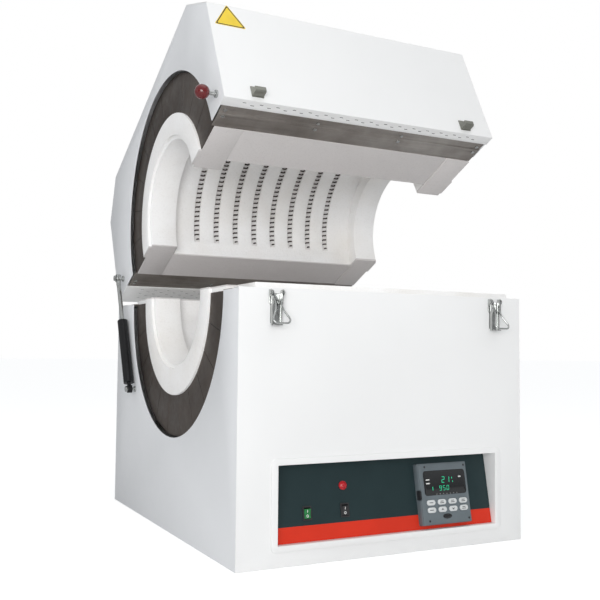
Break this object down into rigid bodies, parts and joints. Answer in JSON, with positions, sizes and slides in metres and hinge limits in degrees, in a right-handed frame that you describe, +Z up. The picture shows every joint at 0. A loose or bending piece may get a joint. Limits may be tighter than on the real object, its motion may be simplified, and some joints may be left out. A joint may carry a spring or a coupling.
{
  "type": "split tube furnace",
  "caption": "Benchtop split tube furnace with a hinged box lid, fibre-lined round chamber, gas springs, toggle latches and a digital temperature controller.",
  "frame": {"origin": "centre of the base's underside", "axes": "+X along the chamber, towards the right end seen from the front; -Y out of the front; +Z up"},
  "size_m": [0.6118, 0.8184, 0.9658],
  "materials": {
    "white_paint": "satin powder coat",
    "side_paint": "satin powder coat",
    "tinted_steel": "brushed and heat-tinted",
    "plain_steel": "brushed",
    "bright_steel": "bright plated",
    "fibre": "matt vacuum-formed fibre",
    "coil_wire": "oxidised",
    "panel_paint": "satin",
    "controller_plastic": "matt",
    "display_window": "gloss",
    "key_plastic": "satin",
    "lamp_lens": "gloss",
    "black_plastic": "satin",
    "rocker_green": "gloss",
    "bare_aluminium": "as extruded",
    "black_paint": "gloss",
    "knob_red": "gloss"
  },
  "bodies": {
    "base": {"base_front_panel": "white_paint", "base_left_panel": "side_paint", "base_right_panel": "side_paint", "base_rear_panel": "white_paint", "base_floor": "side_paint", "heat_shield": "plain_steel", "base_seal_strips": "tinted_steel", "base_gaskets": "fibre", "base_inner_casing": "plain_steel", "base_end_rings": "tinted_steel", "base_fibre_shell": "fibre", "base_fibre_collars": "fibre", "base_heating_coils": "coil_wire", "control_panel": "panel_paint", "panel_trim": "white_paint", "controller_housing": "controller_plastic", "controller_display": "display_window", "indicator_lamp": "lamp_lens", "switch_frames": "black_plastic", "relay_heatsink": "bare_aluminium", "power_relay": "black_plastic", "thermocouple": "plain_steel", "cable_gland": "black_plastic", "hinge_base_leaves": "white_paint", "hinge_pins": "bright_steel", "base_ball_studs": "bright_steel", "latch_plates": "bright_steel"},
    "lid": {"lid_cover": "white_paint", "lid_left_panel": "side_paint", "lid_right_panel": "side_paint", "lid_seal_strips": "tinted_steel", "lid_strip_screws": "bright_steel", "lid_inner_casing": "plain_steel", "lid_end_rings": "tinted_steel", "lid_fibre_shell": "fibre", "lid_fibre_collars": "fibre", "lid_heating_coils": "coil_wire", "lid_keepers": "bright_steel", "knob_stem": "bright_steel", "knob_ball": "knob_red", "hinge_lid_leaves": "white_paint", "lid_ball_studs": "bright_steel"},
    "gas_cylinder_left": {"gas_cylinder_left": "black_paint"},
    "gas_rod_left": {"gas_rod_left": "bright_steel"},
    "latch_lever_left": {"latch_lever_left": "bright_steel"},
    "latch_bail_left": {"latch_bail_left": "bright_steel"},
    "gas_cylinder_right": {"gas_cylinder_right": "black_paint"},
    "gas_rod_right": {"gas_rod_right": "bright_steel"},
    "latch_lever_right": {"latch_lever_right": "bright_steel"},
    "latch_bail_right": {"latch_bail_right": "bright_steel"},
    "rocker_power": {"rocker_power": "rocker_green"},
    "rocker_heating": {"rocker_heating": "black_plastic"},
    "controller_key_1": {"controller_key_1": "key_plastic"},
    "controller_key_2": {"controller_key_2": "key_plastic"},
    "controller_key_3": {"controller_key_3": "key_plastic"},
    "controller_key_4": {"controller_key_4": "key_plastic"},
    "controller_key_5": {"controller_key_5": "key_plastic"},
    "controller_key_6": {"controller_key_6": "key_plastic"},
    "controller_key_7": {"controller_key_7": "key_plastic"},
    "controller_key_8": {"controller_key_8": "key_plastic"}
  },
  "joints": [
    {"name": "lid_hinge", "type": "hinge", "parent": "base", "child": "lid", "pos_m": [0, 0.3529, 0.43495], "axis": [1, 0, 0], "range_deg": [0, 25.7]},
    {"name": "gas_cylinder_left_pivot", "type": "hinge", "parent": "base", "child": "gas_cylinder_left", "pos_m": [-0.2875, 0.201, 0.25], "axis": [1, 0, 0], "range_deg": [0, 2.1]},
    {"name": "gas_rod_left_slide", "type": "slide", "parent": "gas_cylinder_left", "child": "gas_rod_left", "axis": [0, 0.4208, 0.9071], "range_m": [-0.0295, 0]},
    {"name": "latch_lever_left_pivot", "type": "hinge", "parent": "base", "child": "latch_lever_left", "pos_m": [-0.214, -0.3545, 0.421], "axis": [-1, 0, 0], "range_deg": [0, 110]},
    {"name": "latch_bail_left_pivot", "type": "hinge", "parent": "latch_lever_left", "child": "latch_bail_left", "pos_m": [-0.214, -0.3565, 0.41], "axis": [1, 0, 0], "range_deg": [-153, 0]},
    {"name": "gas_cylinder_right_pivot", "type": "hinge", "parent": "base", "child": "gas_cylinder_right", "pos_m": [0.2875, 0.201, 0.25], "axis": [1, 0, 0], "range_deg": [0, 2.1]},
    {"name": "gas_rod_right_slide", "type": "slide", "parent": "gas_cylinder_right", "child": "gas_rod_right", "axis": [0, 0.4208, 0.9071], "range_m": [-0.0295, 0]},
    {"name": "latch_lever_right_pivot", "type": "hinge", "parent": "base", "child": "latch_lever_right", "pos_m": [0.214, -0.3545, 0.421], "axis": [-1, 0, 0], "range_deg": [0, 110]},
    {"name": "latch_bail_right_pivot", "type": "hinge", "parent": "latch_lever_right", "child": "latch_bail_right", "pos_m": [0.214, -0.3565, 0.41], "axis": [1, 0, 0], "range_deg": [-153, 0]},
    {"name": "rocker_power_pivot", "type": "hinge", "parent": "base", "child": "rocker_power", "pos_m": [-0.147, -0.32989, 0.07544], "axis": [-1, 0, 0], "range_deg": [0, 16]},
    {"name": "rocker_heating_pivot", "type": "hinge", "parent": "base", "child": "rocker_heating", "pos_m": [-0.0785, -0.32989, 0.07544], "axis": [-1, 0, 0], "range_deg": [0, 16]},
    {"name": "controller_key_1_press", "type": "slide", "parent": "base", "child": "controller_key_1", "axis": [0, 0.9819, -0.1891], "range_m": [0, 0.0006], "stiffness_N_per_m": 400},
    {"name": "controller_key_2_press", "type": "slide", "parent": "base", "child": "controller_key_2", "axis": [0, 0.9819, -0.1891], "range_m": [0, 0.0006], "stiffness_N_per_m": 400},
    {"name": "controller_key_3_press", "type": "slide", "parent": "base", "child": "controller_key_3", "axis": [0, 0.9819, -0.1891], "range_m": [0, 0.0006], "stiffness_N_per_m": 400},
    {"name": "controller_key_4_press", "type": "slide", "parent": "base", "child": "controller_key_4", "axis": [0, 0.9819, -0.1891], "range_m": [0, 0.0006], "stiffness_N_per_m": 400},
    {"name": "controller_key_5_press", "type": "slide", "parent": "base", "child": "controller_key_5", "axis": [0, 0.9819, -0.1891], "range_m": [0, 0.0006], "stiffness_N_per_m": 400},
    {"name": "controller_key_6_press", "type": "slide", "parent": "base", "child": "controller_key_6", "axis": [0, 0.9819, -0.1891], "range_m": [0, 0.0006], "stiffness_N_per_m": 400},
    {"name": "controller_key_7_press", "type": "slide", "parent": "base", "child": "controller_key_7", "axis": [0, 0.9819, -0.1891], "range_m": [0, 0.0006], "stiffness_N_per_m": 400},
    {"name": "controller_key_8_press", "type": "slide", "parent": "base", "child": "controller_key_8", "axis": [0, 0.9819, -0.1891], "range_m": [0, 0.0006], "stiffness_N_per_m": 400}
  ],
  "couplings": [
    {"joint": "gas_cylinder_left_pivot", "follows": "lid_hinge", "ratio": 0.079},
    {"joint": "gas_rod_left_slide", "follows": "lid_hinge", "m_per_rad": -0.06465},
    {"joint": "gas_cylinder_right_pivot", "follows": "lid_hinge", "ratio": 0.079},
    {"joint": "gas_rod_right_slide", "follows": "lid_hinge", "m_per_rad": -0.06465}
  ]
}
